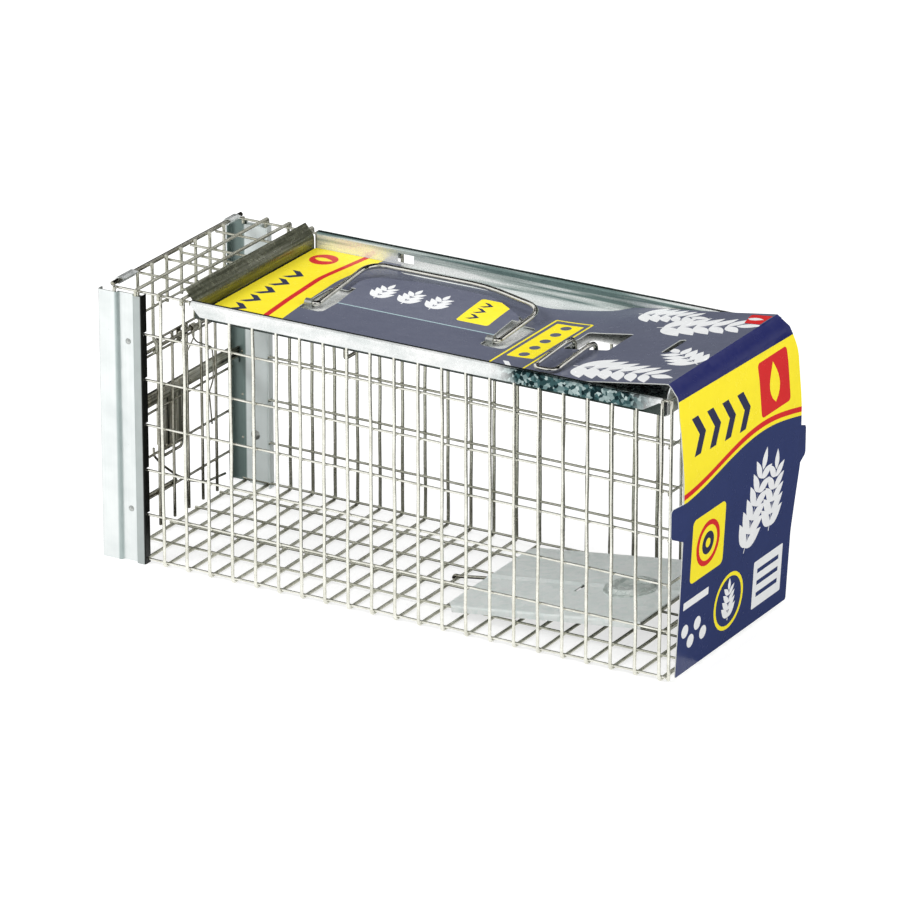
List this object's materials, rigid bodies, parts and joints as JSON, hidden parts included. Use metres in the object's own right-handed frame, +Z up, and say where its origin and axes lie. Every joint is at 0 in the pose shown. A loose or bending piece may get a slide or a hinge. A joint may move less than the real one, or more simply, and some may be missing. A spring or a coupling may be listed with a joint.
{
  "type": "live catch cage trap",
  "caption": "Long wire mesh live catch trap with a swinging door, sliding lock bar, tilting treadle, sheet cover with a printed card and a folding carry handle.",
  "frame": {"origin": "bottom centre of the whole trap, on the ground", "axes": "+X along the cage from the door towards the bait end, +Z up, +Y towards the far side wall"},
  "size_m": [0.4185, 0.1682, 0.193],
  "materials": {
    "wire": "galvanised wire, dull",
    "strip": "galvanised sheet, satin",
    "cover": "galvanised sheet with spangle",
    "treadle": "galvanised sheet, dull",
    "bright_wire": "bright plated wire",
    "card": "printed card, gloss"
  },
  "bodies": {
    "cage": {"near_side_mesh": "wire", "far_side_mesh": "wire", "floor_mesh": "wire", "rear_panel_mesh": "wire", "roof_mesh": "wire", "front_top_rod": "wire", "front_rod_clips": "strip", "header_mesh": "wire", "hinge_rod": "wire", "near_guide_strip": "strip", "far_guide_strip": "strip", "near_backing_strip": "strip", "far_backing_strip": "strip", "strip_rivets": "strip", "top_cover": "cover", "card_sleeve": "card", "front_handle_bracket": "strip", "rear_handle_bracket": "strip", "bracket_rivets": "strip", "loop_brackets": "strip", "crank_hanger": "strip", "crank_pin": "strip", "trip_rod_guides": "strip"},
    "door": {"door_mesh": "wire", "hinge_clips": "strip", "door_spring": "bright_wire", "door_pull_wire": "wire"},
    "lock_bar": {"lock_bar": "strip", "latch_plate": "strip", "latch_stirrup": "wire"},
    "handle": {"carry_handle": "bright_wire"},
    "setting_loop": {"setting_loop": "bright_wire"},
    "treadle": {"treadle_plate": "treadle", "bait_dish": "treadle", "treadle_rod": "wire"},
    "trip_link": {"trip_link": "wire"},
    "bell_crank": {"bell_crank": "strip"},
    "trip_rod": {"trip_rod": "wire"}
  },
  "joints": [
    {"name": "door_swing", "type": "hinge", "parent": "cage", "child": "door", "pos_m": [-0.19675, 0, 0.1284], "axis": [0, -1, 0], "range_deg": [0, 95], "stiffness_Nm_per_rad": 0.02, "springref_deg": -45.84},
    {"name": "lock_bar_lift", "type": "slide", "parent": "cage", "child": "lock_bar", "axis": [0, 0, 1], "range_m": [0, 0.07]},
    {"name": "handle_swing", "type": "hinge", "parent": "cage", "child": "handle", "pos_m": [-0.01765, -0.02, 0.17547], "axis": [1, 0, 0], "range_deg": [0, 150]},
    {"name": "loop_swing", "type": "hinge", "parent": "cage", "child": "setting_loop", "pos_m": [0.10285, -0.009, 0.1682], "axis": [-1, 0, 0], "range_deg": [0, 85]},
    {"name": "treadle_tilt", "type": "hinge", "parent": "cage", "child": "treadle", "pos_m": [0.00635, 0, 0.0011], "axis": [0, 1, 0], "range_deg": [0, 2.5], "stiffness_Nm_per_rad": 0.5, "springref_deg": -28.65},
    {"name": "link_drop", "type": "slide", "parent": "cage", "child": "trip_link", "axis": [0, 0, -1], "range_m": [0, 0.00758]},
    {"name": "crank_turn", "type": "hinge", "parent": "cage", "child": "bell_crank", "pos_m": [0.16635, 0.0032, 0.157], "axis": [0, 1, 0], "range_deg": [0, 36.81]},
    {"name": "trip_rod_slide", "type": "slide", "parent": "cage", "child": "trip_rod", "axis": [1, 0, 0], "range_m": [0, 0.00505]}
  ],
  "couplings": [
    {"joint": "link_drop", "follows": "treadle_tilt", "m_per_rad": 0.172},
    {"joint": "crank_turn", "follows": "treadle_tilt", "ratio": 14.578},
    {"joint": "trip_rod_slide", "follows": "treadle_tilt", "m_per_rad": 0.11467}
  ]
}
